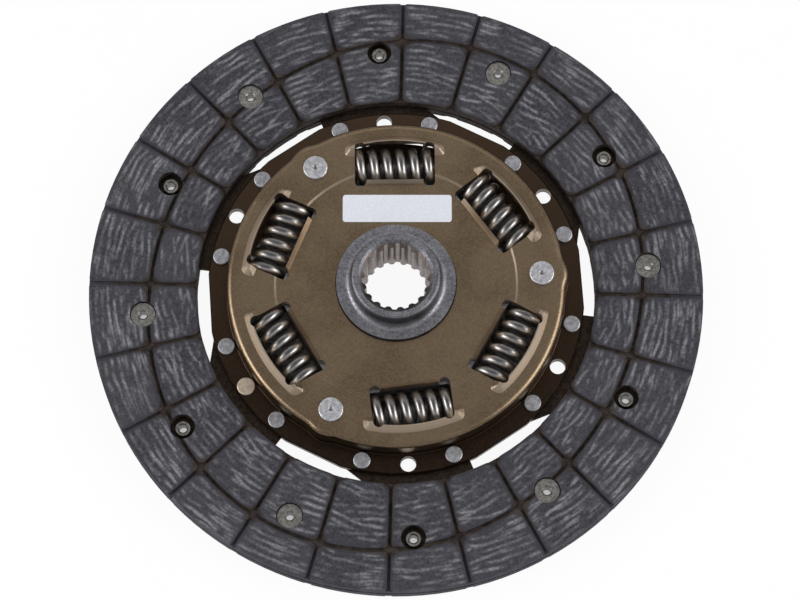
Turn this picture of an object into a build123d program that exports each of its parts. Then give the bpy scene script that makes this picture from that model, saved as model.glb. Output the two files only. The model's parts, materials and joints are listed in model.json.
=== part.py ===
from build123d import *
from math import atan2, cos, degrees, hypot, pi, radians, sin, tan
import os

os.makedirs("parts", exist_ok=True)

# A dry clutch disc with a sprung hub, lying on its rear facing.
# Millimetres. +Z is the disc's axis and points out of the side on which the hub stands proud.
# The origin is on the axis, half-way between the two friction facings. +X goes through stop pin 1.

# Friction facings
facing_outer_radius = 100
facing_rim_clearance = 3.5
facing_thickness = 3.5
cushion_gap = 1.4
groove_count = 24
groove_angle = 9.75
groove_width = 1.1
groove_depth = 0.9
ring_groove_outward_shift = 1
ring_groove_swing = 4.5
ring_groove_angle = 63
block_corner_inner = 2.4
block_corner_middle = 1.5
block_corner_outer = 0.9

# Facing rivets: each set holds one facing, and its rolled ends stand in clearance holes of the other
facing_rivet_count = 6
facing_rivet_outward_shift = 0.2
front_rivet_angle = 1.9
rear_rivet_angle = 30
facing_rivet_head_radius = 4.0
facing_rivet_head_thickness = 0.9
facing_rivet_shank_radius = 2.2
facing_rivet_hollow_radius = 1.3
facing_rivet_mouth_radius = 1.7
facing_rivet_roll_radius = 2.65
facing_rivet_roll_height = 1.6
facing_rivet_roll_gap = 0.1
facing_counterbore_depth = 1.9
facing_clearance_hole_radius = 4.05
counterbore_clearance = 0.3
rivet_hole_clearance = 0.1

# Cushion segments, waved across between foot and tip
segment_count = 6
segment_angle = 30
segment_thickness = 0.7
segment_foot_lap = 0.3
segment_foot_half_angle = 19
segment_heel_inset = 4.5
segment_heel_angle = -21
segment_neck_lap = 1.2
segment_neck_start = -10.5
segment_neck_end = 19
segment_paddle_lap = 2.2
segment_paddle_start = -23.4
segment_paddle_end = 35.6
segment_paddle_inset = 2
segment_corner_radius = 1.2
segment_wave_count = 1.5
segment_wave_run = 6
segment_wave_overrun = 5
segment_wave_points = 24

# Drive plate: rim, wall and plateau of one pressed sheet
plate_thickness = 2.4
rim_width = 6.6
rim_flat_depth = 0.8
rim_edge_bevel = 0.35
cup_spring_distance = 13.4
cup_height = 8.65
cup_shoulder_radius = 2.0
cup_root_radius = 0.4
cup_mouth_radius = 1.6
cup_lobe_radius = 8.7
cup_lobe_blend_radius = 9
plateau_step_inset = 2.1
plateau_step_depth = 0.5
plateau_step_slope = 45
tooling_hole_radius = 2.55
tooling_hole_inset = 3.2

# Rivets in the rim
segment_rivet_inset = 3.32
segment_rivet_half_pitch = 14.74
segment_rivet_head_radius = 2.8
segment_rivet_head_thickness = 1.1
segment_rivet_shank_radius = 2.1
segment_rivet_rear_head_radius = 3.3
segment_rivet_rear_head_thickness = 1.0
balance_rivet_angle = -150
balance_rivet_head_radius = 3.0
balance_rivet_head_thickness = 0.9
rivet_rounding_share = 0.4

# Stop pins
pin_count = 3
pin_cup_distance = 7.6
pin_radius = 3.5
pin_neck_radius = 2.7
pin_head_radius = 4.0
pin_head_thickness = 1.0
pin_head_rounding = 0.45
pin_dimple_radius = 0.8
pin_dimple_depth = 0.4

# Damper springs and the windows that hold them
spring_outer_diameter = 13
spring_wire_diameter = 2.9
spring_length = 26
spring_pitch = 4.45
spring_first_crest = 1.7
spring_circle_radius = 41.5
spring_angle = 33.3
spring_end_clearance = 0.1
window_inner_reach = 5.9
window_outer_reach = 6.6
window_relief_radius = 1.8
window_inner_relief = 2.5
window_outer_relief = 0.4
hood_width = 2.3
hood_height = 2.1
hood_overhang = 3.2
hood_skirt = 4.6
hood_corner_radius = 2.6
hood_foot_radius = 1.2
hood_least_radius = 0.1
hood_slope = 42
lip_width = 2.0
lip_thickness = 1.7
lip_half_length = 9.3
lip_edge_width = 0.25

# Hub
hub_flange_clearance = 2.0
hub_flange_thickness = 4.8
hub_flange_rounding = 0.8
hub_collar_radius = 19.4
hub_collar_height = 1.7
hub_boss_radius = 14.3
hub_boss_height = 6.9
hub_boss_blend = 2.5
hub_boss_bevel = 0.6
hub_rear_radius = 18
hub_rear_height = 1.3
hub_plate_clearance = 0.3
hub_slot_clearance = 0.4
hub_slot_corner_radius = 0.7
spline_teeth = 18
spline_minor_radius = 10.05
spline_major_radius = 11.15
spline_valley_angle = 3.4
spline_flank_angle = 30
spline_mouth_radius = 12.2
twist_limit = 7
stop_clearance = 0.3

# Friction washers and the spring washer that loads them
washer_collar_clearance = 0.6
washer_slot_distance = 2.1
washer_thickness = 0.9
washer_running_gap = 0.1
spring_washer_height = 0.9
spring_washer_thickness = 0.5
spring_washer_inset = 1.0

# Retainer plate
retainer_thickness = 2.0
retainer_cup_clearance = 1.0

# Selecting edges and corners by where they lie
near = 0.05

# Label
label_length = 35.5
label_width = 9.3
label_thickness = 0.2
label_corner_radius = 1.0
label_centre_x = 2.1
label_centre_y = 25.4
label_turn = -3.9

# Heights that follow from the stack
facing_back = cushion_gap / 2
facing_face = facing_back + facing_thickness
wave_height = (cushion_gap - segment_thickness) / 2
rim_bottom = segment_thickness / 2
rim_top = rim_bottom + plate_thickness
plateau_top = rim_top + cup_height
plateau_under = plateau_top - plate_thickness
hub_side_top = plateau_top - plateau_step_depth
hub_side_under = hub_side_top - plate_thickness
flange_top = hub_side_under - washer_thickness - washer_running_gap
flange_bottom = flange_top - hub_flange_thickness
rear_washer_top = flange_bottom - washer_running_gap
rear_washer_bottom = rear_washer_top - washer_thickness
retainer_top = rear_washer_bottom - spring_washer_height
retainer_bottom = retainer_top - retainer_thickness
spring_axis_height = (flange_top + flange_bottom) / 2
collar_top = hub_side_top + hub_collar_height
boss_top = collar_top + hub_boss_height
hub_rear = retainer_bottom - hub_rear_height

# Radii that follow from the springs' circle outwards
cup_radius = spring_circle_radius + cup_spring_distance
plateau_step_radius = spring_circle_radius - plateau_step_inset
pin_circle_radius = cup_radius - pin_cup_distance
hub_flange_radius = cup_radius - plate_thickness - hub_flange_clearance
hub_slot_floor = spring_circle_radius - spring_outer_diameter / 2 - hub_slot_clearance
washer_inner_radius = hub_collar_radius + washer_collar_clearance
washer_outer_radius = hub_slot_floor - washer_slot_distance
rim_radius = cup_radius + rim_width
rim_flat_distance = rim_radius - rim_flat_depth
tooling_hole_circle_radius = rim_radius - tooling_hole_inset
segment_rivet_circle_radius = rim_radius - segment_rivet_inset
facing_inner_radius = rim_radius + facing_rim_clearance
facing_middle_radius = (facing_inner_radius + facing_outer_radius) / 2
facing_rivet_circle_radius = facing_middle_radius + facing_rivet_outward_shift
ring_groove_long_radius = facing_middle_radius + ring_groove_outward_shift + ring_groove_swing
ring_groove_short_radius = facing_middle_radius + ring_groove_outward_shift - ring_groove_swing
segment_foot_inner_radius = cup_radius - segment_foot_lap
segment_heel_radius = facing_inner_radius - segment_heel_inset
segment_neck_radius = facing_inner_radius + segment_neck_lap
segment_paddle_inner_radius = facing_inner_radius + segment_paddle_lap
segment_wave_start = facing_inner_radius + segment_wave_run

# Places that follow from the sizes above
pin_angles = [360 / pin_count * i for i in range(pin_count)]
spring_angles = [a + s for a in pin_angles for s in (spring_angle, 360 / pin_count - spring_angle)]
window_half_length = spring_length / 2 + spring_end_clearance
window_inner = spring_circle_radius - window_inner_reach
window_outer = spring_circle_radius + window_outer_reach
segment_angles = [360 / segment_count * i + segment_angle for i in range(segment_count)]
segment_rivet_angles = [a + s * segment_rivet_half_pitch for a in segment_angles for s in (-1, 1)]
front_rivet_angles = [360 / facing_rivet_count * i + front_rivet_angle for i in range(facing_rivet_count)]
rear_rivet_angles = [360 / facing_rivet_count * i + rear_rivet_angle for i in range(facing_rivet_count)]


def polar(radius, angle):
    """Point in the disc's plane at a radius and an angle in degrees."""
    return (radius * cos(radians(angle)), radius * sin(radians(angle)))


def on_circle(radius, angles):
    """Places on one circle about the disc's axis."""
    return Locations(*[polar(radius, angle) for angle in angles])


def save(part, name):
    """Labels a finished piece and writes it."""
    part.label = name
    export_step(part, f"parts/{name}.step")


def facing(head_angles, clearance_angles):
    """A facing above the mid-plane: a backing ring with raised blocks between its grooves."""
    groove_floor = facing_face - groove_depth

    def corners(low, high):
        """The block corners between two radii, leaving out the seam of the oval groove."""
        found = []
        for vertex in blocks.vertices():
            radius = hypot(vertex.X, vertex.Y)
            spacing = 360 / groove_count
            turn = (degrees(atan2(vertex.Y, vertex.X)) - groove_angle + spacing / 2) % spacing - spacing / 2
            if low < radius < high and abs(radius * sin(radians(turn))) < groove_width:
                found.append(vertex)
        return found

    with BuildPart() as ring:
        with BuildSketch(Plane.XY.offset(facing_back)):
            Circle(facing_outer_radius)
            Circle(facing_inner_radius, mode=Mode.SUBTRACT)
        extrude(amount=facing_thickness - groove_depth)
        with BuildSketch(Plane.XY.offset(groove_floor)):
            with BuildSketch() as blocks:
                Circle(facing_outer_radius)
                Circle(facing_inner_radius, mode=Mode.SUBTRACT)
                with BuildSketch(mode=Mode.SUBTRACT):
                    Ellipse(
                        ring_groove_long_radius + groove_width / 2,
                        ring_groove_short_radius + groove_width / 2,
                        rotation=ring_groove_angle,
                    )
                    Ellipse(
                        ring_groove_long_radius - groove_width / 2,
                        ring_groove_short_radius - groove_width / 2,
                        rotation=ring_groove_angle,
                        mode=Mode.SUBTRACT,
                    )
                with PolarLocations(facing_middle_radius, groove_count, start_angle=groove_angle):
                    Rectangle(facing_outer_radius, groove_width, mode=Mode.SUBTRACT)
                fillet(corners(facing_inner_radius + near, facing_outer_radius - near), block_corner_middle)
                fillet(corners(0, facing_inner_radius + near), block_corner_inner)
                fillet(corners(facing_outer_radius - near, facing_outer_radius + near), block_corner_outer)
        extrude(amount=groove_depth)
        with BuildSketch(Plane.XY.offset(facing_back)):
            with on_circle(facing_rivet_circle_radius, clearance_angles):
                Circle(facing_clearance_hole_radius)
            with on_circle(facing_rivet_circle_radius, head_angles):
                Circle(facing_rivet_shank_radius + rivet_hole_clearance)
        extrude(amount=facing_thickness, mode=Mode.SUBTRACT)
        with BuildSketch(Plane.XY.offset(facing_face - facing_counterbore_depth)):
            with on_circle(facing_rivet_circle_radius, head_angles):
                Circle(facing_rivet_head_radius + counterbore_clearance)
        extrude(amount=facing_counterbore_depth, mode=Mode.SUBTRACT)
    return ring.part


def facing_rivets(angles):
    """Tubular rivets of the facing above the mid-plane: head in the counterbore, end rolled below."""
    seat = facing_face - facing_counterbore_depth
    top = seat + facing_rivet_head_thickness
    roll_top = facing_back - segment_thickness - facing_rivet_roll_gap
    roll_bottom = roll_top - facing_rivet_roll_height
    flare = facing_rivet_mouth_radius - facing_rivet_hollow_radius
    with BuildPart() as rivet:
        with BuildSketch(Plane.XZ):
            with BuildLine():
                Polyline(
                    (facing_rivet_hollow_radius, top - flare),
                    (facing_rivet_mouth_radius, top),
                    (facing_rivet_head_radius, top),
                    (facing_rivet_head_radius, seat),
                    (facing_rivet_shank_radius, seat),
                    (facing_rivet_shank_radius, roll_top),
                    (facing_rivet_roll_radius, roll_top),
                    (facing_rivet_roll_radius, roll_bottom),
                    (facing_rivet_mouth_radius, roll_bottom),
                    (facing_rivet_hollow_radius, roll_bottom + flare),
                    close=True,
                )
            rolled_end = make_face().vertices().sort_by(Axis.Y)[:2]
            fillet(
                rolled_end.sort_by(Axis.X)[-1],
                (facing_rivet_roll_radius - facing_rivet_mouth_radius) * rivet_rounding_share,
            )
        revolve(axis=Axis.Z)
    with BuildPart() as rivets:
        with on_circle(facing_rivet_circle_radius, angles):
            add(rivet.part)
    return rivets.part


def cushion_segment():
    """One waved segment, drawn with the middle of its paddle on +Y."""
    paddle_middle = (segment_paddle_start + segment_paddle_end) / 2
    paddle_half_angle = (segment_paddle_end - segment_paddle_start) / 2
    paddle_outer_radius = facing_outer_radius - segment_paddle_inset

    def local(radius, angle):
        """Point at an angle from the middle of the segment's foot."""
        return polar(radius, angle - paddle_middle + 90)

    foot_rivets = [local(segment_rivet_circle_radius, s * segment_rivet_half_pitch) for s in (-1, 1)]
    front_rivet = local(facing_rivet_circle_radius, front_rivet_angle + 360 / segment_count - segment_angle)
    rear_rivet = local(facing_rivet_circle_radius, rear_rivet_angle - segment_angle)
    wave_length = (rear_rivet[0] - front_rivet[0]) / segment_wave_count

    def wave_profile(height, distance):
        """Section across the waves, at a distance from the disc's axis."""
        reach = facing_outer_radius * sin(radians(paddle_half_angle)) + segment_wave_overrun
        points = []
        for i in range(segment_wave_points + 1):
            x = -reach + 2 * reach * i / segment_wave_points
            points.append((x, height * cos(2 * pi * (x - front_rivet[0]) / wave_length)))
        across = Plane(origin=(0, distance, 0), x_dir=(1, 0, 0), z_dir=(0, -1, 0))
        with BuildSketch(across, mode=Mode.PRIVATE) as profile:
            with BuildLine():
                top = Spline(*[(x, z + segment_thickness / 2) for x, z in points])
                bottom = Spline(*[(x, z - segment_thickness / 2) for x, z in points])
                Line(top @ 0, bottom @ 0)
                Line(top @ 1, bottom @ 1)
            make_face()
        return profile.sketch

    with BuildPart() as segment:
        full_wave = wave_profile(wave_height, segment_wave_start)
        extrude(full_wave, amount=-facing_outer_radius)
        loft([wave_profile(0, facing_inner_radius), full_wave], ruled=True)
        with BuildSketch(Plane.XY.offset(-segment_thickness / 2)):
            with Locations((0, facing_inner_radius)):
                Rectangle(2 * facing_outer_radius, facing_inner_radius, align=(Align.CENTER, Align.MAX))
        extrude(amount=segment_thickness)
        with BuildSketch(Plane.XY.offset(-cushion_gap)):
            with BuildLine():
                CenterArc((0, 0), paddle_outer_radius, 90 - paddle_half_angle, 2 * paddle_half_angle)
                CenterArc((0, 0), segment_paddle_inner_radius, 90 - paddle_half_angle, 2 * paddle_half_angle)
                for angle in (segment_paddle_start, segment_paddle_end):
                    Line(local(segment_paddle_inner_radius, angle), local(paddle_outer_radius, angle))
            make_face()
            with BuildLine():
                Polyline(
                    local(segment_foot_inner_radius, -segment_foot_half_angle),
                    local(segment_heel_radius, segment_heel_angle),
                    local(segment_neck_radius, segment_neck_start),
                    local(segment_paddle_inner_radius + segment_corner_radius, segment_neck_start),
                    local(segment_paddle_inner_radius + segment_corner_radius, segment_neck_end),
                    local(segment_foot_inner_radius, segment_foot_half_angle),
                    close=True,
                )
            outline = make_face()
            fillet(outline.vertices(), segment_corner_radius)
            with Locations(*foot_rivets):
                Circle(segment_rivet_shank_radius + rivet_hole_clearance, mode=Mode.SUBTRACT)
            with Locations(local(tooling_hole_circle_radius, 0)):
                Circle(tooling_hole_radius, mode=Mode.SUBTRACT)
            with Locations(front_rivet, rear_rivet):
                Circle(facing_rivet_shank_radius + rivet_hole_clearance, mode=Mode.SUBTRACT)
        extrude(amount=2 * cushion_gap, mode=Mode.INTERSECT)
    return segment.part.rotate(Axis.Z, paddle_middle - 90)


def hood_outline(inset):
    """Outline of a hood, with its middle on +Y, drawn in by the run of its slopes."""
    with BuildSketch() as outline:
        Circle(window_outer + hood_width - inset)
        with Locations((0, window_outer - hood_skirt + inset)):
            Rectangle(
                2 * (window_half_length + hood_overhang - inset),
                window_outer,
                align=(Align.CENTER, Align.MIN),
                mode=Mode.INTERSECT,
            )
        foot_radius = max(hood_foot_radius - inset, hood_least_radius)
        corner_radius = max(hood_corner_radius - inset, hood_least_radius)
        fillet(outline.vertices().sort_by(Axis.Y)[:2], foot_radius)
        fillet(outline.vertices().sort_by(Axis.Y)[-2:], corner_radius)
    return outline.sketch


def window_pressing(face_height, hub_side_height):
    """The hood and the lip pressed up round one window, with its middle on +Y."""
    crest = face_height + hood_height
    with BuildPart() as pressing:
        with BuildSketch(Plane.XY.offset(face_height)):
            add(hood_outline(0))
        with BuildSketch(Plane.XY.offset(crest)):
            add(hood_outline(hood_height * tan(radians(hood_slope))))
        loft(ruled=True)
        with BuildSketch(Plane.YZ):
            with BuildLine():
                Polyline(
                    (window_inner - lip_width, hub_side_height),
                    (window_inner - lip_edge_width, crest),
                    (window_inner, crest),
                    (window_inner, hub_side_height),
                    close=True,
                )
            make_face()
        extrude(amount=lip_half_length, both=True)
    return pressing.part


def window_cut(face_height, hub_side_height, sheet_thickness):
    """The opening of one window, with its middle on +Y, and the hollow under its hood and lip."""
    relief_x = window_half_length - window_relief_radius
    inner_relief_y = window_inner - window_inner_relief + window_relief_radius
    spring_outer_edge = spring_circle_radius + spring_outer_diameter / 2
    outer_relief_y = spring_outer_edge - window_relief_radius - window_outer_relief
    hollow_outer = window_outer + hood_width - lip_edge_width - lip_thickness
    cut_bottom = hub_side_height - 2 * sheet_thickness
    cut_top = face_height + 2 * hood_height
    with BuildPart() as cut:
        with BuildSketch(Plane.XY.offset(cut_bottom)):
            with Locations((0, window_inner)):
                Rectangle(2 * relief_x, window_outer, align=(Align.CENTER, Align.MIN))
            Circle(window_outer, mode=Mode.INTERSECT)
            with Locations((0, inner_relief_y)):
                Rectangle(
                    2 * window_half_length,
                    outer_relief_y - inner_relief_y,
                    align=(Align.CENTER, Align.MIN),
                )
            with Locations(*[(s * relief_x, y) for s in (-1, 1) for y in (inner_relief_y, outer_relief_y)]):
                Circle(window_relief_radius)
        extrude(amount=cut_top - cut_bottom)
        with BuildSketch(Plane.YZ):
            with BuildLine():
                Polyline(
                    (window_inner - lip_width + lip_thickness, hub_side_height - sheet_thickness),
                    (window_inner, face_height + hood_height - lip_thickness),
                    (window_outer - lip_edge_width, face_height + hood_height - lip_thickness),
                    (hollow_outer, face_height - sheet_thickness),
                    close=True,
                )
            make_face()
        extrude(amount=lip_half_length, both=True)
    return cut.part


def at_windows():
    """The places of the windows, each with its middle turned from +Y to its own angle."""
    return Locations(*[Location((0, 0, 0), (0, 0, angle - 90)) for angle in spring_angles])


def cup_outline(inset=0):
    """Outline of the pressed cup, or of its hollow: round, with a lobe outside each stop pin."""
    with BuildSketch() as outline:
        Circle(cup_radius - inset)
        with on_circle(pin_circle_radius, pin_angles):
            Circle(cup_lobe_radius - inset)
        waists = [v for v in outline.vertices() if abs(hypot(v.X, v.Y) - cup_radius + inset) < near]
        fillet(waists, cup_lobe_blend_radius + inset)
    return outline.sketch


def drive_plate():
    """The pressed sheet that carries the segments: rim, wall and plateau."""
    step_floor_radius = plateau_step_radius - plateau_step_depth * tan(radians(plateau_step_slope))

    def rim_face():
        """The rim's upper face."""
        return [f for f in plate.faces().filter_by(Plane.XY) if abs(f.center().Z - rim_top) < near][0]

    with BuildPart() as plate:
        with BuildSketch(Plane.XY.offset(rim_bottom)):
            add(cup_outline())
        extrude(amount=plateau_top - rim_bottom)
        fillet(plate.faces().sort_by(Axis.Z)[-1].edges(), cup_shoulder_radius)
        with BuildSketch(Plane.XY.offset(rim_bottom)):
            Circle(rim_radius)
            RegularPolygon(
                rim_flat_distance,
                segment_count,
                major_radius=False,
                rotation=180 / segment_count,
                mode=Mode.INTERSECT,
            )
        extrude(amount=plate_thickness)
        fillet(rim_face().inner_wires()[0].edges(), cup_root_radius)
        chamfer(rim_face().outer_wire().edges(), rim_edge_bevel)
        with BuildSketch(Plane.XY.offset(rim_bottom)):
            add(cup_outline(plate_thickness))
        extrude(amount=cup_height, mode=Mode.SUBTRACT)
        mouth = plate.faces().sort_by(Axis.Z)[0].inner_wires()[0]
        fillet(mouth.edges(), cup_mouth_radius)
        with BuildSketch(Plane.XY.offset(hub_side_under)):
            Circle(step_floor_radius)
        extrude(amount=plateau_step_depth, taper=-plateau_step_slope)
        with BuildSketch(Plane.XY.offset(hub_side_top)):
            Circle(step_floor_radius)
        extrude(amount=plateau_step_depth, taper=-plateau_step_slope, mode=Mode.SUBTRACT)
        with at_windows():
            add(window_pressing(plateau_top, hub_side_top))
            add(window_cut(plateau_top, hub_side_top, plate_thickness), mode=Mode.SUBTRACT)
        with BuildSketch(Plane.XY.offset(rim_bottom)):
            Circle(hub_collar_radius + hub_plate_clearance)
            with on_circle(pin_circle_radius, pin_angles):
                Circle(pin_neck_radius + rivet_hole_clearance)
            with on_circle(segment_rivet_circle_radius, segment_rivet_angles):
                Circle(segment_rivet_shank_radius + rivet_hole_clearance)
            with on_circle(tooling_hole_circle_radius, segment_angles):
                Circle(tooling_hole_radius)
        extrude(amount=plateau_top, mode=Mode.SUBTRACT)
    return plate.part


def retainer_plate():
    """The flat rear plate, drawn with its windows' hoods upwards and then turned over."""
    with BuildPart() as plate:
        with BuildSketch(Plane.XY.offset(-retainer_top)):
            Circle(cup_radius - plate_thickness - retainer_cup_clearance)
        extrude(amount=retainer_thickness)
        with at_windows():
            add(window_pressing(-retainer_bottom, -retainer_bottom))
            add(window_cut(-retainer_bottom, -retainer_bottom, retainer_thickness), mode=Mode.SUBTRACT)
        with BuildSketch(Plane.XY.offset(-retainer_top)):
            Circle(hub_rear_radius + hub_plate_clearance)
            with on_circle(pin_circle_radius, pin_angles):
                Circle(pin_neck_radius + rivet_hole_clearance)
        extrude(amount=retainer_thickness, mode=Mode.SUBTRACT)
        mirror(about=Plane.XY, mode=Mode.REPLACE)
    return plate.part


def damper_spring():
    """A coil spring with ground ends, drawn along +Z with its middle at the origin and a crest on +X."""
    coil_radius = (spring_outer_diameter - spring_wire_diameter) / 2
    coil_start = -spring_length / 2 + spring_first_crest - spring_pitch
    half_turn_count = 2 * int(spring_length / spring_pitch) + 4
    with BuildPart() as half_turn:
        with BuildLine() as coil:
            Helix(spring_pitch, spring_pitch / 2, coil_radius)
        with BuildSketch(Plane(origin=coil.line @ 0, z_dir=coil.line % 0)):
            Circle(spring_wire_diameter / 2)
        sweep(path=coil.line, is_frenet=True)
    with BuildPart() as spring:
        for i in range(half_turn_count):
            with Locations(Location((0, 0, coil_start + i * spring_pitch / 2), (0, 0, 180 * i))):
                add(half_turn.part)
        Box(2 * spring_outer_diameter, 2 * spring_outer_diameter, spring_length, mode=Mode.INTERSECT)
    return spring.part


def spring_seat(angle):
    """Place of a spring: its axis along the window, its own +X up."""
    middle = (*polar(spring_circle_radius, angle), spring_axis_height)
    return Plane(origin=middle, x_dir=(0, 0, 1), z_dir=(*polar(1, angle - 90), 0)).location


def hub():
    """The splined hub with collar, boss and the six-armed flange that carries the springs."""
    notch_floor = pin_circle_radius - pin_radius - stop_clearance
    notch_half_angle = twist_limit + degrees((pin_radius + stop_clearance) / pin_circle_radius)
    notch_reach = hub_flange_radius + pin_radius
    mouth_depth = spline_mouth_radius - spline_minor_radius
    with BuildPart() as body:
        with BuildSketch(Plane.XY.offset(flange_bottom)):
            Circle(hub_flange_radius)
            for angle in spring_angles:
                with Locations(Location((0, 0, 0), (0, 0, angle - 90))):
                    with Locations((0, hub_slot_floor)):
                        Rectangle(
                            2 * window_half_length,
                            hub_flange_radius,
                            align=(Align.CENTER, Align.MIN),
                            mode=Mode.SUBTRACT,
                        )
            for angle in pin_angles:
                with BuildSketch(mode=Mode.SUBTRACT):
                    with BuildLine():
                        for side in (angle - notch_half_angle, angle + notch_half_angle):
                            Line(polar(notch_floor, side), polar(notch_reach, side))
                        for radius in (notch_floor, notch_reach):
                            CenterArc((0, 0), radius, angle - notch_half_angle, 2 * notch_half_angle)
                    make_face()
        extrude(amount=hub_flange_thickness)
        corners = body.edges().filter_by(Axis.Z)
        fillet(
            [e for e in corners if hypot(e.center().X, e.center().Y) < notch_floor + near],
            hub_slot_corner_radius,
        )
        fillet(
            [e for e in corners if hypot(e.center().X, e.center().Y) > hub_flange_radius - near],
            hub_flange_rounding,
        )
        with BuildSketch(Plane.XZ):
            with BuildLine():
                Polyline(
                    (0, hub_rear),
                    (hub_rear_radius, hub_rear),
                    (hub_rear_radius, flange_bottom),
                    (hub_collar_radius, flange_bottom),
                    (hub_collar_radius, collar_top),
                    (hub_boss_radius, collar_top),
                    (hub_boss_radius, boss_top),
                    (0, boss_top),
                    close=True,
                )
            boss_corners = make_face().vertices().filter_by(lambda v: abs(v.X - hub_boss_radius) < near)
            fillet(boss_corners.sort_by(Axis.Y)[0], hub_boss_blend)
        revolve(axis=Axis.Z)
        end_faces = body.faces().filter_by(Plane.XY).sort_by(Axis.Z)
        chamfer(end_faces[0].edges() + end_faces[-1].edges(), hub_boss_bevel)
        with BuildSketch(Plane.XY.offset(hub_rear)):
            Circle(spline_minor_radius)
            with BuildSketch(mode=Mode.PRIVATE) as valley:
                middle = (spline_minor_radius + spline_major_radius) / 2
                half_width = pi * middle / spline_teeth / 2
                narrowing = tan(radians(spline_flank_angle))
                root = half_width - (spline_major_radius - middle) * narrowing
                foot_radius = 2 * spline_minor_radius - spline_major_radius
                foot = half_width + (middle - foot_radius) * narrowing
                with BuildLine():
                    Polyline(
                        (foot_radius, -foot),
                        (spline_major_radius, -root),
                        (spline_major_radius, root),
                        (foot_radius, foot),
                        close=True,
                    )
                make_face()
            with PolarLocations(0, spline_teeth, start_angle=spline_valley_angle):
                add(valley.sketch)
        extrude(amount=boss_top - hub_rear, mode=Mode.SUBTRACT)
        with Locations((0, 0, boss_top)):
            Cone(
                spline_minor_radius,
                spline_mouth_radius,
                mouth_depth,
                align=(Align.CENTER, Align.CENTER, Align.MAX),
                mode=Mode.SUBTRACT,
            )
        with Locations((0, 0, hub_rear)):
            Cone(
                spline_mouth_radius,
                spline_minor_radius,
                mouth_depth,
                align=(Align.CENTER, Align.CENTER, Align.MIN),
                mode=Mode.SUBTRACT,
            )
    return body.part


def washer(bottom):
    """A flat friction washer."""
    with BuildPart() as ring:
        with BuildSketch(Plane.XY.offset(bottom)):
            Circle(washer_outer_radius)
            Circle(washer_inner_radius, mode=Mode.SUBTRACT)
        extrude(amount=washer_thickness)
    return ring.part


def spring_washer():
    """The conical washer between the retainer plate and the rear friction washer."""
    inner = washer_inner_radius + spring_washer_inset
    outer = washer_outer_radius - spring_washer_inset
    with BuildPart() as ring:
        with BuildSketch(Plane.XZ):
            with BuildLine():
                Polyline(
                    (outer, retainer_top),
                    (outer, retainer_top + spring_washer_thickness),
                    (inner, rear_washer_bottom),
                    (inner, rear_washer_bottom - spring_washer_thickness),
                    close=True,
                )
            make_face()
        revolve(axis=Axis.Z)
    return ring.part


def stop_pin(angle):
    """A shouldered pin between the two plates, with its front and rear ends headed over."""
    with BuildPart() as pin:
        with BuildSketch(Plane.XZ):
            with BuildLine():
                Polyline(
                    (0, retainer_bottom - pin_head_thickness),
                    (pin_head_radius, retainer_bottom - pin_head_thickness),
                    (pin_head_radius, retainer_bottom),
                    (pin_neck_radius, retainer_bottom),
                    (pin_neck_radius, retainer_top),
                    (pin_radius, retainer_top),
                    (pin_radius, plateau_under),
                    (pin_neck_radius, plateau_under),
                    (pin_neck_radius, plateau_top),
                    (pin_head_radius, plateau_top),
                    (pin_head_radius, plateau_top + pin_head_thickness),
                    (pin_dimple_radius, plateau_top + pin_head_thickness),
                    (0, plateau_top + pin_head_thickness - pin_dimple_depth),
                    close=True,
                )
            head_corners = make_face().vertices().filter_by(lambda v: abs(v.X - pin_head_radius) < near)
            rims = head_corners.sort_by(Axis.Y)
            fillet([rims[0], rims[-1]], pin_head_rounding)
        revolve(axis=Axis.Z)
    return pin.part.moved(Location((*polar(pin_circle_radius, angle), 0)))


def rim_rivet(shank_radius, front_radius, front_thickness, rear_radius, rear_thickness):
    """A solid rivet through the rim and a segment's foot, drawn on the Z axis."""
    foot_bottom = rim_bottom - segment_thickness
    with BuildPart() as rivet:
        with BuildSketch(Plane.XY.offset(rim_top)):
            Circle(front_radius)
        extrude(amount=front_thickness)
        with BuildSketch(Plane.XY.offset(foot_bottom)):
            Circle(rear_radius)
        extrude(amount=-rear_thickness)
        ends = rivet.faces().filter_by(Plane.XY).sort_by(Axis.Z)
        rounding = min(front_thickness, rear_thickness) * rivet_rounding_share
        fillet(ends[0].edges() + ends[-1].edges(), rounding)
        with BuildSketch(Plane.XY.offset(foot_bottom)):
            Circle(shank_radius)
        extrude(amount=rim_top - foot_bottom)
    return rivet.part


def segment_rivets():
    """The rivets that hold the segments' feet to the rim."""
    rivet = rim_rivet(
        segment_rivet_shank_radius,
        segment_rivet_head_radius,
        segment_rivet_head_thickness,
        segment_rivet_rear_head_radius,
        segment_rivet_rear_head_thickness,
    )
    with BuildPart() as rivets:
        with on_circle(segment_rivet_circle_radius, segment_rivet_angles):
            add(rivet)
    return rivets.part


def balance_rivet():
    """The single rivet that balances the disc, in one of the tooling holes."""
    rivet = rim_rivet(
        tooling_hole_radius - rivet_hole_clearance,
        balance_rivet_head_radius,
        balance_rivet_head_thickness,
        balance_rivet_head_radius,
        balance_rivet_head_thickness,
    )
    return rivet.moved(Location((*polar(tooling_hole_circle_radius, balance_rivet_angle), 0)))


def label():
    """The bare paper label on the plateau."""
    with BuildPart() as paper:
        with BuildSketch(Plane.XY.offset(hub_side_top)):
            with Locations(Location((label_centre_x, label_centre_y, 0), (0, 0, label_turn))):
                RectangleRounded(label_length, label_width, label_corner_radius)
        extrude(amount=label_thickness)
    return paper.part


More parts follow.
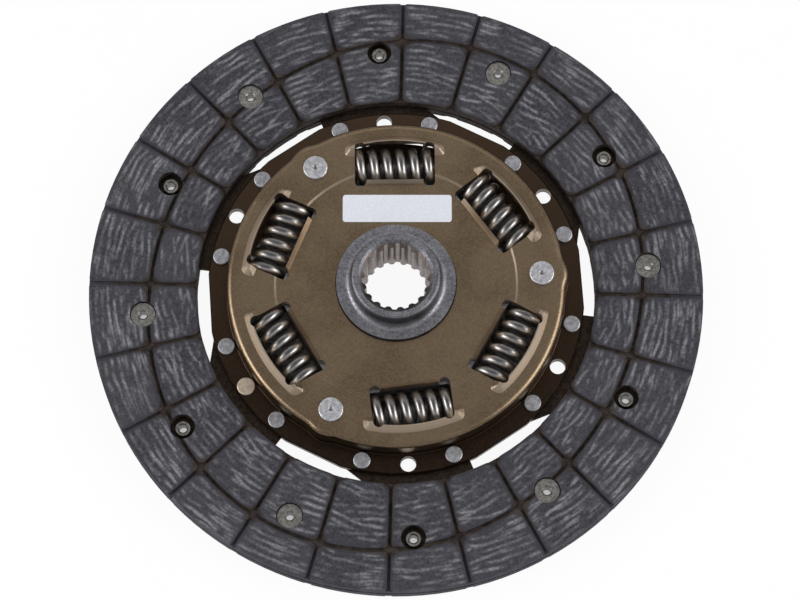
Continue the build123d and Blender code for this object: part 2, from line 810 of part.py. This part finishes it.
save(facing(front_rivet_angles, rear_rivet_angles), "facing_front")
save(mirror(facing(rear_rivet_angles, front_rivet_angles), about=Plane.XY), "facing_rear")
save(facing_rivets(front_rivet_angles), "facing_rivets_front")
save(mirror(facing_rivets(rear_rivet_angles), about=Plane.XY), "facing_rivets_rear")
segment = cushion_segment()
for number, angle in enumerate(segment_angles, start=1):
    save(segment.rotate(Axis.Z, angle), f"cushion_segment_{number}")
save(drive_plate(), "drive_plate")
save(segment_rivets(), "segment_rivets")
save(balance_rivet(), "balance_rivet")
save(retainer_plate(), "retainer_plate")
for number, angle in enumerate(pin_angles, start=1):
    save(stop_pin(angle), f"stop_pin_{number}")
spring = damper_spring()
for number, angle in enumerate(spring_angles, start=1):
    save(spring.moved(spring_seat(angle)), f"damper_spring_{number}")
save(hub(), "hub")
save(washer(hub_side_under - washer_thickness), "front_friction_washer")
save(washer(rear_washer_bottom), "rear_friction_washer")
save(spring_washer(), "spring_washer")
save(label(), "label")
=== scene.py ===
import json
import math

import bmesh
import bpy
from mathutils import Matrix, Vector


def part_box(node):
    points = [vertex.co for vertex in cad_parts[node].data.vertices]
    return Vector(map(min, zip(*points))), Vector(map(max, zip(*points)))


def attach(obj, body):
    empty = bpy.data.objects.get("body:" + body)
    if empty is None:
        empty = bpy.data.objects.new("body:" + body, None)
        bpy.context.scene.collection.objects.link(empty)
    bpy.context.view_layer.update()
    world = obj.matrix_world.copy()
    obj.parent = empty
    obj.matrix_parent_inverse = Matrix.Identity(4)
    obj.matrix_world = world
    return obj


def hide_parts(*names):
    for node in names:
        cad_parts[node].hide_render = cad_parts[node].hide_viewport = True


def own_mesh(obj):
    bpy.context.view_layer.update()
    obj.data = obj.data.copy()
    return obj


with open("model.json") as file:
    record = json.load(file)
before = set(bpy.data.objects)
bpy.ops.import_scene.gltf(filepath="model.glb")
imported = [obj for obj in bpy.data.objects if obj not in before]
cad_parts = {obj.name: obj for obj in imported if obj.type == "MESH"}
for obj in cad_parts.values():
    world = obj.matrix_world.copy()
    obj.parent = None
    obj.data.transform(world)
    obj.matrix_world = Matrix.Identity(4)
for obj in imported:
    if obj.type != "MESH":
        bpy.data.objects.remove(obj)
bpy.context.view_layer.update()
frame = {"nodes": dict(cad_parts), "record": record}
nodes = frame["nodes"]

# Camera, in the frame of the disc: the disc lies flat and is turned a little about its axis
camera_distance = 1.05563
camera_elevation = math.radians(73.04)
disc_turn = math.radians(3.882)
camera_slide = (-0.001286, 0.002242)
camera_lens = 145.33
camera_sensor_width = 36


def turned(x, y, z):
    """A direction of the photographer's frame in the frame of the disc."""
    c, s = math.cos(disc_turn), math.sin(disc_turn)
    return Vector((c * x + s * y, c * y - s * x, z))


def add_object(name, data):
    """A new object in the scene, which holds this data."""
    thing = bpy.data.objects.new(name, data)
    bpy.context.scene.collection.objects.link(thing)
    return thing


right = turned(1, 0, 0)
up = turned(0, math.sin(camera_elevation), math.cos(camera_elevation))
back = turned(0, -math.cos(camera_elevation), math.sin(camera_elevation))
place = back * camera_distance - right * camera_slide[0] - up * camera_slide[1]
camera_data = bpy.data.cameras.new("camera")
camera_data.lens = camera_lens
camera_data.sensor_width = camera_sensor_width
camera = add_object("camera", camera_data)
camera.matrix_world = Matrix.Translation(place) @ Matrix((right, up, back)).transposed().to_4x4()
bpy.context.scene.camera = camera
bpy.context.scene.view_settings.view_transform = "Standard"


class Nodes:
    """A material's node tree, with short calls for the nodes used here."""

    def __init__(self, name):
        self.material = bpy.data.materials.new(name)
        self.material.use_nodes = True
        self.tree = self.material.node_tree
        self.shader = self.tree.nodes["Principled BSDF"]
        self.place = self.add("ShaderNodeTexCoord").outputs
        self.point = self.place["Object"]
        self.x, self.y, self.z = self.split(self.point)

    def add(self, kind, **settings):
        node = self.tree.nodes.new(kind)
        for key, value in settings.items():
            setattr(node, key, value)
        return node

    def put(self, socket, value):
        """Links an output to a socket, or sets the socket to a constant."""
        if isinstance(value, bpy.types.NodeSocket):
            self.tree.links.new(value, socket)
        else:
            socket.default_value = value

    def math(self, operation, *values):
        node = self.add("ShaderNodeMath", operation=operation)
        for i, value in enumerate(values):
            self.put(node.inputs[i], value)
        return node.outputs[0]

    def plus(self, a, b):
        return self.math("ADD", a, b)

    def minus(self, a, b):
        return self.math("SUBTRACT", a, b)

    def least(self, *values):
        found = values[0]
        for value in values[1:]:
            found = self.math("MINIMUM", found, value)
        return found

    def most(self, *values):
        found = values[0]
        for value in values[1:]:
            found = self.math("MAXIMUM", found, value)
        return found

    def product(self, *values):
        found = values[0]
        for value in values[1:]:
            found = self.math("MULTIPLY", found, value)
        return found

    def length(self, a, b):
        """Length of the vector with these two parts."""
        return self.math("SQRT", self.plus(self.product(a, a), self.product(b, b)))

    def radius(self):
        """Distance of the shaded point from the disc's axis."""
        return self.length(self.x, self.y)

    def angle(self):
        """Angle of the shaded point about the disc's axis."""
        return self.math("ARCTAN2", self.y, self.x)

    def upright(self):
        """1 where the surface faces up and 0 where it stands."""
        return self.split(self.place["Normal"])[2]

    def split(self, vector):
        node = self.add("ShaderNodeSeparateXYZ")
        self.put(node.inputs[0], vector)
        return node.outputs

    def join(self, x, y, z):
        node = self.add("ShaderNodeCombineXYZ")
        for i, value in enumerate((x, y, z)):
            self.put(node.inputs[i], value)
        return node.outputs[0]

    def ramp(self, value, low, high, low_to=0.0, high_to=1.0):
        """Maps low..high smoothly to low_to..high_to, and holds the ends."""
        node = self.add("ShaderNodeMapRange", interpolation_type="SMOOTHSTEP")
        for i, v in enumerate((value, low, high, low_to, high_to)):
            self.put(node.inputs[i], v)
        return node.outputs[0]

    def blend(self, share, none, full):
        """A number that goes smoothly from none to full while share goes from 0 to 1."""
        return self.ramp(share, 0.0, 1.0, none, full)

    def noise(self, vector, scale=1.0, detail=3.0, roughness=0.6):
        node = self.add("ShaderNodeTexNoise")
        self.put(node.inputs["Vector"], vector)
        self.put(node.inputs["Scale"], scale)
        self.put(node.inputs["Detail"], detail)
        self.put(node.inputs["Roughness"], roughness)
        return node.outputs["Fac"]

    def grain(self, scale, low=0.32, high=0.68, roughness=0.6):
        """Fine noise that is 0 below low and 1 above high."""
        return self.ramp(self.noise(self.point, scale, 3.0, roughness), low, high)

    def clouds(self, scale, low, high, low_to=0.0, high_to=1.0, detail=2.0):
        """Soft noise, mapped as a ramp is."""
        return self.ramp(self.noise(self.point, scale, detail, 0.5), low, high, low_to, high_to)

    def mix(self, share, a, b):
        """Colour a where share is 0 and b where it is 1."""
        node = self.add("ShaderNodeMix", data_type="RGBA", clamp_factor=True)
        self.put(node.inputs["Factor"], share)
        for key, value in (("A", a), ("B", b)):
            socket = [s for s in node.inputs if s.name == key and s.type == "RGBA"][0]
            self.put(socket, value if isinstance(value, bpy.types.NodeSocket) else (*value, 1))
        return [s for s in node.outputs if s.type == "RGBA"][0]

    def bump(self, height, distance, strength):
        node = self.add("ShaderNodeBump")
        self.put(node.inputs["Height"], height)
        self.put(node.inputs["Distance"], distance)
        self.put(node.inputs["Strength"], strength)
        self.put(self.shader.inputs["Normal"], node.outputs[0])

    def finish(self, color, roughness, metallic=0.0, specular=0.5):
        for key, value in (
            ("Base Color", color),
            ("Roughness", roughness),
            ("Metallic", metallic),
            ("Specular IOR Level", specular),
        ):
            self.put(self.shader.inputs[key], value)
        return self.material


def srgb(*values):
    """A colour given as the screen shows it, 0 to 255, as Blender's linear numbers."""
    return tuple(v / 255 / 12.92 if v <= 10 else ((v / 255 + 0.055) / 1.055) ** 2.4 for v in values)


# Friction facing: yarn wound in shallow waves and bound in a charcoal compound
facing_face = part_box("facing_front")[1].z
facing_inner_radius = 0.065
facing_outer_radius = 0.1
facing_edge_width = 0.0005
groove_depth = 0.0009
groove_spacing = math.radians(15)
groove_angle = math.radians(9.75)
groove_half_width = 0.00055
oval_radius = 0.0835
oval_swing = 0.0045
oval_angle = math.radians(63)
block_corner_radius = 0.0037
block_border = 0.0018
block_dust_reach = (-0.0001, 0.0005)
rubbed_reach = (0.86 * facing_outer_radius, 0.97 * facing_outer_radius)
yarn_waves = 12.0
yarn_swing = (0.0016, 0.0005)
yarn_pitch = 0.0022
yarn_fade = (0.04, 0.36)
yarn_wander = 0.22
yarn_stretch = 9.0
yarn_lane_step = 7.3
yarn_gaps = (0.43, 0.64)
yarn_crossing_seed = 3.1
yarn_crossing_share = 0.8
yarn_cover = 0.8
yarn_tone = srgb(144, 143, 148)
binder_tones = (srgb(33, 33, 39), srgb(62, 62, 69))
block_tone = srgb(78, 76, 80)
border_tone = srgb(44, 44, 54)
dust_tones = (srgb(28, 21, 17), srgb(56, 47, 42))
rubbed_groove_tone = srgb(58, 57, 65)


def block_margin(n, radius, beside_groove, beside_oval):
    """How far the shaded point lies inside its block, whose corners are rounded."""

    def short_of_corner(*distances):
        """What is left of the corner radius after the least of these distances."""
        return n.most(n.minus(block_corner_radius, n.least(*distances)), 0.0)

    off_groove = n.minus(n.math("ABSOLUTE", n.product(radius, beside_groove)), groove_half_width)
    off_oval = n.minus(n.math("ABSOLUTE", beside_oval), groove_half_width)
    off_bore = n.minus(radius, facing_inner_radius)
    corner = n.length(short_of_corner(off_groove), short_of_corner(off_oval, off_bore))
    off_edge = n.minus(facing_outer_radius + groove_half_width, radius)
    return n.least(n.minus(block_corner_radius, corner), off_edge)


def yarn_strokes(n, radius, angle, side, seed):
    """Soft strokes in lanes one yarn apart, which wave about the disc's axis."""
    inner_swing, outer_swing = (side * swing for swing in yarn_swing)
    reach = n.ramp(radius, facing_inner_radius, facing_outer_radius, inner_swing, outer_swing)
    wave = n.product(n.math("SINE", n.product(angle, yarn_waves)), reach)
    wander = n.clouds(90.0, 0.25, 0.75, -yarn_wander, yarn_wander)
    lane = n.plus(n.math("DIVIDE", n.plus(radius, wave), yarn_pitch), wander)
    off_lane = n.math("ABSOLUTE", n.minus(n.math("FRACT", lane), 0.5))
    along = n.join(
        n.product(n.math("COSINE", angle), yarn_stretch),
        n.product(n.math("SINE", angle), yarn_stretch),
        n.math("MULTIPLY_ADD", n.math("FLOOR", lane), yarn_lane_step, seed),
    )
    return n.product(n.ramp(off_lane, *yarn_fade, 1.0, 0.0), n.ramp(n.noise(along), *yarn_gaps))


def facing_material():
    n = Nodes("facing")
    radius = n.radius()
    angle = n.angle()
    turn = n.minus(angle, groove_angle)
    beside_groove = n.math("WRAP", turn, groove_spacing / 2, -groove_spacing / 2)
    double = n.math("COSINE", n.math("MULTIPLY_ADD", angle, 2.0, -2 * oval_angle))
    beside_oval = n.minus(radius, n.math("MULTIPLY_ADD", double, oval_swing, oval_radius))
    margin = block_margin(n, radius, beside_groove, beside_oval)
    inside = n.ramp(margin, 0.0, block_border)
    mottling = n.grain(1300.0, 0.34, 0.66, 0.65)

    # Dust in the grooves, rubbed off toward the outer edge
    dust = n.mix(n.grain(420.0, 0.35, 0.65), *dust_tones)
    dust = n.mix(n.ramp(radius, *rubbed_reach, 0.0, 0.7), dust, rubbed_groove_tone)

    # The binder, with a tone of its own on each block
    block = n.add("ShaderNodeTexWhiteNoise", noise_dimensions="2D")
    number = n.math("FLOOR", n.math("DIVIDE", turn, groove_spacing))
    row = n.math("ROUND", n.ramp(beside_oval, -groove_half_width, groove_half_width))
    n.put(block.inputs["Vector"], n.join(number, row, 0.0))
    base = n.mix(mottling, *binder_tones)
    base = n.mix(n.blend(block.outputs["Value"], 0.0, 0.2), base, block_tone)
    base = n.mix(n.blend(inside, 0.75, 0.0), base, border_tone)
    base = n.mix(n.ramp(margin, *block_dust_reach), dust, base)

    # The yarn is wound in waves that cross
    one_way = yarn_strokes(n, radius, angle, 1, 0.0)
    other_way = yarn_strokes(n, radius, angle, -1, yarn_crossing_seed)
    streaks = n.most(one_way, n.product(other_way, yarn_crossing_share))
    patches = n.clouds(110.0, 0.36, 0.6, 0.45, 1.0)
    streaks = n.product(streaks, patches, inside, n.blend(mottling, 0.55, 1.0))
    face = n.mix(n.product(streaks, yarn_cover), base, yarn_tone)

    depth = n.minus(facing_face, n.math("ABSOLUTE", n.z))
    below = n.ramp(depth, 0.15 * groove_depth, 0.8 * groove_depth)
    edge_start = facing_outer_radius - facing_edge_width
    edge_end = facing_outer_radius - facing_edge_width / 5
    color = n.mix(n.product(below, n.ramp(radius, edge_start, edge_end, 1.0, 0.0)), face, dust)
    n.bump(n.plus(n.product(streaks, 0.7), n.product(mottling, 0.5)), 0.00005, 0.8)
    return n.finish(color, n.blend(mottling, 0.74, 0.9), specular=0.35)


def mottled_material(name, dark, light, roughness, grain, metallic):
    """A surface with a fine mottling between two colours, and a slow change of polish."""
    n = Nodes(name)
    mottling = n.grain(grain)
    polish = n.clouds(grain / 12, 0.3, 0.7, roughness - 0.05, roughness + 0.05, 3.0)
    n.bump(mottling, 0.00002, 0.6)
    return n.finish(n.mix(mottling, srgb(*dark), srgb(*light)), polish, metallic)


# Drive plate: bronze passivation, with painted shade on the low rim that lightens toward the far
# side, and painted highlights on the hoods, the step and the window lips
rim_height = 0.00275
wall_height = 0.0075
rim_fade = 0.06
hood_height = 0.0021
plateau_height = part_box("drive_plate")[1].z - hood_height
step_radius = 0.03915
step_width = 0.0005
lips_reach = 0.0505
lips_tilt = (0.6, 0.9)
# Shares of the painted highlights on the hoods, step and lips
highlight_share = 0.65
step_highlight_share = 0.6
bronze_tones = (srgb(114, 96, 76), srgb(136, 118, 96))
bronze_cloud_tone = srgb(140, 123, 101)
# Tones of the rim's painted shade, lighter on the far side as if lit from behind
rim_shade_tones = (srgb(46, 36, 29), srgb(58, 46, 37))
rim_far_lit_tone = srgb(84, 68, 54)
painted_highlight_tone = srgb(206, 188, 168)


def drive_plate_material():
    n = Nodes("drive_plate")
    radius = n.radius()
    mottling = n.grain(1600.0)
    clouds = n.clouds(60.0, 0.35, 0.65)
    bronze = n.mix(mottling, *bronze_tones)
    bronze = n.mix(n.product(clouds, 0.35), bronze, bronze_cloud_tone)
    # Painted highlights: light bands on the hood slopes, along the step and on the sloped window
    # lips
    hood_foot = plateau_height + 0.1 * hood_height
    hood_shoulder = plateau_height + 0.6 * hood_height
    hood_highlight = n.ramp(n.z, hood_foot, hood_shoulder, 0.0, highlight_share)
    off_step = n.math("ABSOLUTE", n.minus(radius, step_radius))
    step_highlight = n.ramp(off_step, 0.3 * step_width, step_width, step_highlight_share, 0.0)
    lip_highlight = n.product(
        n.ramp(n.upright(), *lips_tilt, highlight_share, 0.0),
        n.ramp(radius, lips_reach - step_width, lips_reach, 1.0, 0.0),
    )
    bronze = n.mix(n.most(hood_highlight, step_highlight, lip_highlight), bronze, painted_highlight_tone)
    # Painted shade: the low rim and its wall are dark, and lighter toward the far side as if lit
    # from behind
    shaded_rim = n.mix(mottling, *rim_shade_tones)
    shaded_rim = n.mix(n.ramp(n.y, -rim_fade, rim_fade, 0.0, 0.7), shaded_rim, rim_far_lit_tone)
    color = n.mix(n.ramp(n.z, rim_height, wall_height), shaded_rim, bronze)
    n.bump(mottling, 0.000012, 0.5)
    return n.finish(color, n.blend(clouds, 0.3, 0.38), 1.0)


# Spring wire
wire_tones = (srgb(160, 156, 153), srgb(180, 176, 173))
wire_crest_shade_tone = srgb(96, 95, 97)
wire_crest_tilt = (0.82, 1.0)


def spring_material():
    """Oiled spring wire, with painted shade along its crests that leaves its flanks as lighter
    stripes.
    """
    n = Nodes("spring")
    mottling = n.grain(900.0)
    wire = n.mix(mottling, *wire_tones)
    # Painted shade on the crests, where the wire faces up
    wire = n.mix(n.ramp(n.upright(), *wire_crest_tilt), wire, wire_crest_shade_tone)
    n.bump(mottling, 0.00001, 0.4)
    return n.finish(wire, n.blend(mottling, 0.34, 0.4), 1.0)


# Hub
splines_radius = 0.01125
splines_fade = 1.02
boss_radius = 0.0143
throat_edge = 0.0003
throat_width = 0.0009
throat_fade = 0.0008
sintered_tones = (srgb(108, 108, 115), srgb(134, 134, 140))
sintered_grain_tone = srgb(170, 170, 176)
pore_tone = srgb(70, 68, 72)
throat_shade_tone = srgb(58, 50, 45)
splines_tone = srgb(112, 92, 80)


def hub_material():
    """Sintered steel: a grey surface with open pores, browned in the splines, with painted shade in
    the throat around the boss.
    """
    n = Nodes("hub")
    radius = n.radius()
    pores = n.ramp(n.noise(n.point, 2600.0, 2.0), 0.52, 0.7)
    clouds = n.grain(240.0, 0.3, 0.7)
    steel = n.mix(clouds, *sintered_tones)
    steel = n.mix(n.product(n.grain(1400.0, 0.36, 0.64, 0.7), 0.6), steel, sintered_grain_tone)
    # Painted shade in the throat at the foot of the boss
    throat_end = boss_radius + throat_width
    throat_shade = n.product(
        n.ramp(radius, boss_radius - throat_edge, boss_radius),
        n.ramp(radius, throat_end, throat_end + throat_fade, 0.55, 0.0),
    )
    steel = n.mix(throat_shade, steel, throat_shade_tone)
    splines = n.ramp(radius, splines_radius, splines_radius * splines_fade, 0.7, 0.0)
    steel = n.mix(splines, steel, splines_tone)
    steel = n.mix(n.product(pores, 0.8), steel, pore_tone)
    n.bump(n.product(pores, -1.0), 0.00003, 0.8)
    return n.finish(steel, n.blend(clouds, 0.32, 0.42), 1.0)


# Stop pins: one at angle 0, the others spread evenly
pin_count = 3
pin_spacing = 360 / pin_count
pin_low, pin_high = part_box("stop_pin_1")
pin_circle_radius = (pin_low.x + pin_high.x) / 2
pin_dimple_radius = 0.0008
zinc_tones = (srgb(170, 171, 175), srgb(212, 212, 217))
pin_dimple_tone = srgb(66, 66, 69)


def pin_material():
    """Zinc-plated heads, each darker in its punched centre."""
    n = Nodes("stop_pin")
    radius = n.radius()
    half_spacing = math.radians(pin_spacing / 2)
    aside = n.math("WRAP", n.angle(), half_spacing, -half_spacing)
    outward = n.minus(n.product(radius, n.math("COSINE", aside)), pin_circle_radius)
    sideways = n.product(radius, n.math("SINE", aside))
    off_centre = n.length(outward, sideways)
    punched = n.ramp(off_centre, 0.6 * pin_dimple_radius, 1.2 * pin_dimple_radius, 0.8, 0.0)
    mottling = n.grain(900.0)
    n.bump(mottling, 0.00002, 0.6)
    return n.finish(n.mix(punched, n.mix(mottling, *zinc_tones), pin_dimple_tone), 0.48, 1.0)


materials = {
    "friction_facing": facing_material(),
    "spring_steel": spring_material(),
    "hub_steel": hub_material(),
}
for slot, dark, light, roughness, grain, metallic in (
    ("facing_rivet", (120, 117, 112), (160, 157, 152), 0.36, 900.0, 1.0),
    ("segment_steel", (46, 38, 33), (64, 54, 47), 0.42, 900.0, 1.0),
    ("passivated_plate", (112, 93, 70), (126, 106, 81), 0.34, 1600.0, 1.0),
    ("zinc_rivet", (146, 147, 151), (186, 186, 191), 0.5, 900.0, 1.0),
    ("balance_brass", (188, 172, 154), (212, 198, 180), 0.45, 900.0, 1.0),
    ("washer_composite", (60, 58, 54), (80, 76, 72), 0.7, 900.0, 0.0),
    ("label_paper", (204, 207, 215), (218, 221, 229), 0.5, 2500.0, 0.0),
):
    materials[slot] = mottled_material(slot, dark, light, roughness, grain, metallic)
slots = {row["node"]: row["material_slot"] for row in frame["record"]["subparts"]}
for name, node in nodes.items():
    node.data.materials.clear()
    node.data.materials.append(materials[slots[name]])
nodes["drive_plate"].data.materials[0] = drive_plate_material()
pins = pin_material()
for number in range(pin_count):
    nodes[f"stop_pin_{number + 1}"].data.materials[0] = pins

# Damper springs: coils with ground ends, each in the place of its solid
spring_outer_diameter = 0.013
spring_wire_radius = 0.00145
spring_length = 0.026
spring_pitch = 0.00445
spring_first_crest = 0.0017
spring_circle_radius = 0.0415
spring_axis_height = 0.0051
spring_angle = 33.3
coil_steps = 44
wire_steps = 20
sharp_edge = math.radians(50)


def wound_coil(name):
    """A coil wound along +Z about the origin, with a crest on +X, cut flat at both ends."""
    coil_radius = spring_outer_diameter / 2 - spring_wire_radius
    rise = spring_pitch / (2 * math.pi * coil_radius)
    start = -spring_length / 2 + spring_first_crest - spring_pitch
    steps = coil_steps * (int(spring_length / spring_pitch) + 2)
    bm = bmesh.new()
    rings = []
    for i in range(steps + 1):
        phase = 2 * math.pi * i / coil_steps
        c, s = math.cos(phase), math.sin(phase)
        outward = Vector((c, s, 0))
        along = Vector((-s, c, rise)).normalized()
        across = along.cross(outward)
        centre = outward * coil_radius + Vector((0, 0, start + spring_pitch * i / coil_steps))
        ring = []
        for j in range(wire_steps):
            round_wire = 2 * math.pi * j / wire_steps
            offset = outward * math.cos(round_wire) + across * math.sin(round_wire)
            ring.append(bm.verts.new(centre + offset * spring_wire_radius))
        rings.append(ring)
    for one, two in zip(rings, rings[1:]):
        for j in range(wire_steps):
            k = (j + 1) % wire_steps
            bm.faces.new((one[j], two[j], two[k], one[k]))
    for end in (-1, 1):
        cut = bmesh.ops.bisect_plane(
            bm,
            geom=bm.verts[:] + bm.edges[:] + bm.faces[:],
            plane_co=(0, 0, end * spring_length / 2),
            plane_no=(0, 0, end),
            clear_outer=True,
        )
        edges = [item for item in cut["geom_cut"] if isinstance(item, bmesh.types.BMEdge)]
        bmesh.ops.edgenet_fill(bm, edges=edges)
    bmesh.ops.recalc_face_normals(bm, faces=bm.faces)
    mesh = bpy.data.meshes.new(name)
    bm.to_mesh(mesh)
    bm.free()
    mesh.shade_smooth()
    mesh.set_sharp_from_angle(angle=sharp_edge)
    mesh.materials.append(materials["spring_steel"])
    return mesh


def damper_spring(number, angle):
    """One spring, laid in its window with its axis along the disc's circle."""
    radial = Vector((math.cos(math.radians(angle)), math.sin(math.radians(angle)), 0))
    tangent = Vector((radial.y, -radial.x, 0))
    upward = Vector((0, 0, 1))
    middle = radial * spring_circle_radius + upward * spring_axis_height
    mesh = wound_coil(f"coil_{number}")
    mesh.transform(Matrix((upward, tangent.cross(upward), tangent)).transposed().to_4x4())
    mesh.transform(Matrix.Translation(middle))
    coil = add_object(f"coil_{number}", mesh)
    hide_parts(f"damper_spring_{number}")
    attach(coil, "disc")
    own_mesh(coil)


spring_offsets = (spring_angle, pin_spacing - spring_angle)
spring_angles = [pin * pin_spacing + offset for pin in range(pin_count) for offset in spring_offsets]
for number, angle in enumerate(spring_angles, start=1):
    damper_spring(number, angle)

# Floor: what the camera sees of it through the disc
floor_reach = 3.0
floor_glow = 0.93
bore_sight_radius = 0.023
holes_sight_radius = 0.0515
sight_edge = 0.001
rivet_bore_shade = 0.5
floor_tones = (srgb(232, 233, 236), srgb(240, 241, 243))


def floor_material():
    """White to the camera, as in a studio, but in shade under the disc's middle and facing."""
    n = Nodes("floor")
    radius = n.radius()

    def under(inner, outer):
        """1 on the floor between these two radii."""
        return n.product(
            n.ramp(radius, inner - sight_edge, inner + sight_edge),
            n.ramp(radius, outer - sight_edge, outer + sight_edge, 1.0, 0.0),
        )

    middle = under(bore_sight_radius, holes_sight_radius)
    facing = under(facing_inner_radius + sight_edge, facing_outer_radius - 5 * sight_edge)
    shade = n.most(middle, n.product(facing, rivet_bore_shade))
    rays = n.add("ShaderNodeLightPath").outputs
    seen = n.most(rays["Is Camera Ray"], rays["Is Glossy Ray"])
    glow = n.add("ShaderNodeEmission")
    n.put(glow.inputs["Color"], (1, 1, 1, 1))
    n.put(glow.inputs["Strength"], 1.0)
    n.finish(n.mix(n.noise(n.point, 40.0, 2.0, 0.5), *floor_tones), 0.9, specular=0.1)
    blend = n.add("ShaderNodeMixShader")
    n.put(blend.inputs[0], n.product(seen, n.minus(1.0, shade), floor_glow))
    n.put(blend.inputs[1], n.shader.outputs[0])
    n.put(blend.inputs[2], glow.outputs[0])
    output = [x for x in n.tree.nodes if x.type == "OUTPUT_MATERIAL"][0]
    n.put(output.inputs["Surface"], blend.outputs[0])
    return n.material


floor_mesh = bpy.data.meshes.new("floor")
corners = [
    (x * floor_reach, y * floor_reach, -facing_face) for x, y in ((-1, -1), (1, -1), (1, 1), (-1, 1))
]
floor_mesh.from_pydata(corners, [], [(0, 1, 2, 3)])
floor_mesh.materials.append(floor_material())
floor = add_object("floor", floor_mesh)

# Light: low softboxes at both sides, a weak one behind, and an even grey world
side_light_size = (0.8, 0.55)
side_light_power = 7.5
back_light_size = (1.0, 0.5)
back_light_power = 1.2
world_level = 0.46
backdrop_level = 1.0


def softbox(name, where, size, power):
    """A rectangular light that faces the disc."""
    data = bpy.data.lights.new(name, "AREA")
    data.shape = "RECTANGLE"
    data.size, data.size_y = size
    data.energy = power
    light = add_object(name, data)
    light.location = turned(*where)
    light.rotation_mode = "QUATERNION"
    light.rotation_quaternion = (-light.location).to_track_quat("-Z", "Y")


softbox("light_left", (-0.92, -0.12, 0.6), side_light_size, side_light_power)
softbox("light_right", (0.92, -0.12, 0.6), side_light_size, side_light_power)
softbox("light_back", (0.0, 0.95, 0.95), back_light_size, back_light_power)

world = bpy.data.worlds.new("world")
world.use_nodes = True
bpy.context.scene.world = world
background = world.node_tree.nodes["Background"]
world_rays = world.node_tree.nodes.new("ShaderNodeLightPath")
strength = world.node_tree.nodes.new("ShaderNodeMapRange")
strength.inputs["To Min"].default_value = world_level
strength.inputs["To Max"].default_value = backdrop_level
world.node_tree.links.new(world_rays.outputs["Is Camera Ray"], strength.inputs["Value"])
world.node_tree.links.new(strength.outputs[0], background.inputs["Strength"])
background.inputs["Color"].default_value = (1, 1, 1, 1)
